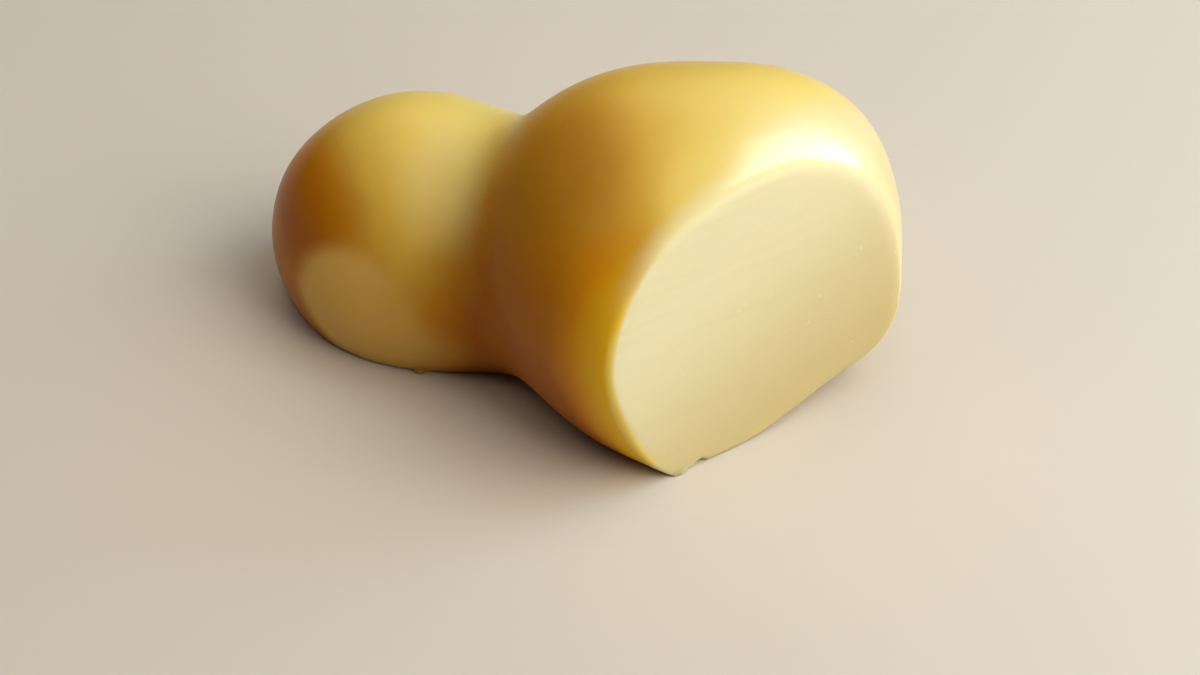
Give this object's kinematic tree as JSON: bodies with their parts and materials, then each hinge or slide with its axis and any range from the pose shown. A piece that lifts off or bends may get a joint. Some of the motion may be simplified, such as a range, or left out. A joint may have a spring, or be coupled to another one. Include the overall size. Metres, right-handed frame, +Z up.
{
  "type": "smoked scamorza",
  "caption": "Smoked pulled-curd cheese of two lobes joined at a pinched neck, lying on a flat underside, with its big end sliced off to show the cream inside.",
  "frame": {"origin": "on the flat underside, below the middle of the bounding box", "axes": "+X from the small lobe to the cut end, +Z up from the surface it lies on, +Y away from the side that the cut face looks towards"},
  "size_m": [0.141, 0.0873, 0.0759],
  "materials": {
    "cheese": "satin, waxy smoked skin, golden to amber, with a pale cream cut face"
  },
  "bodies": {
    "root": {"scamorza": "cheese"}
  },
  "joints": []
}
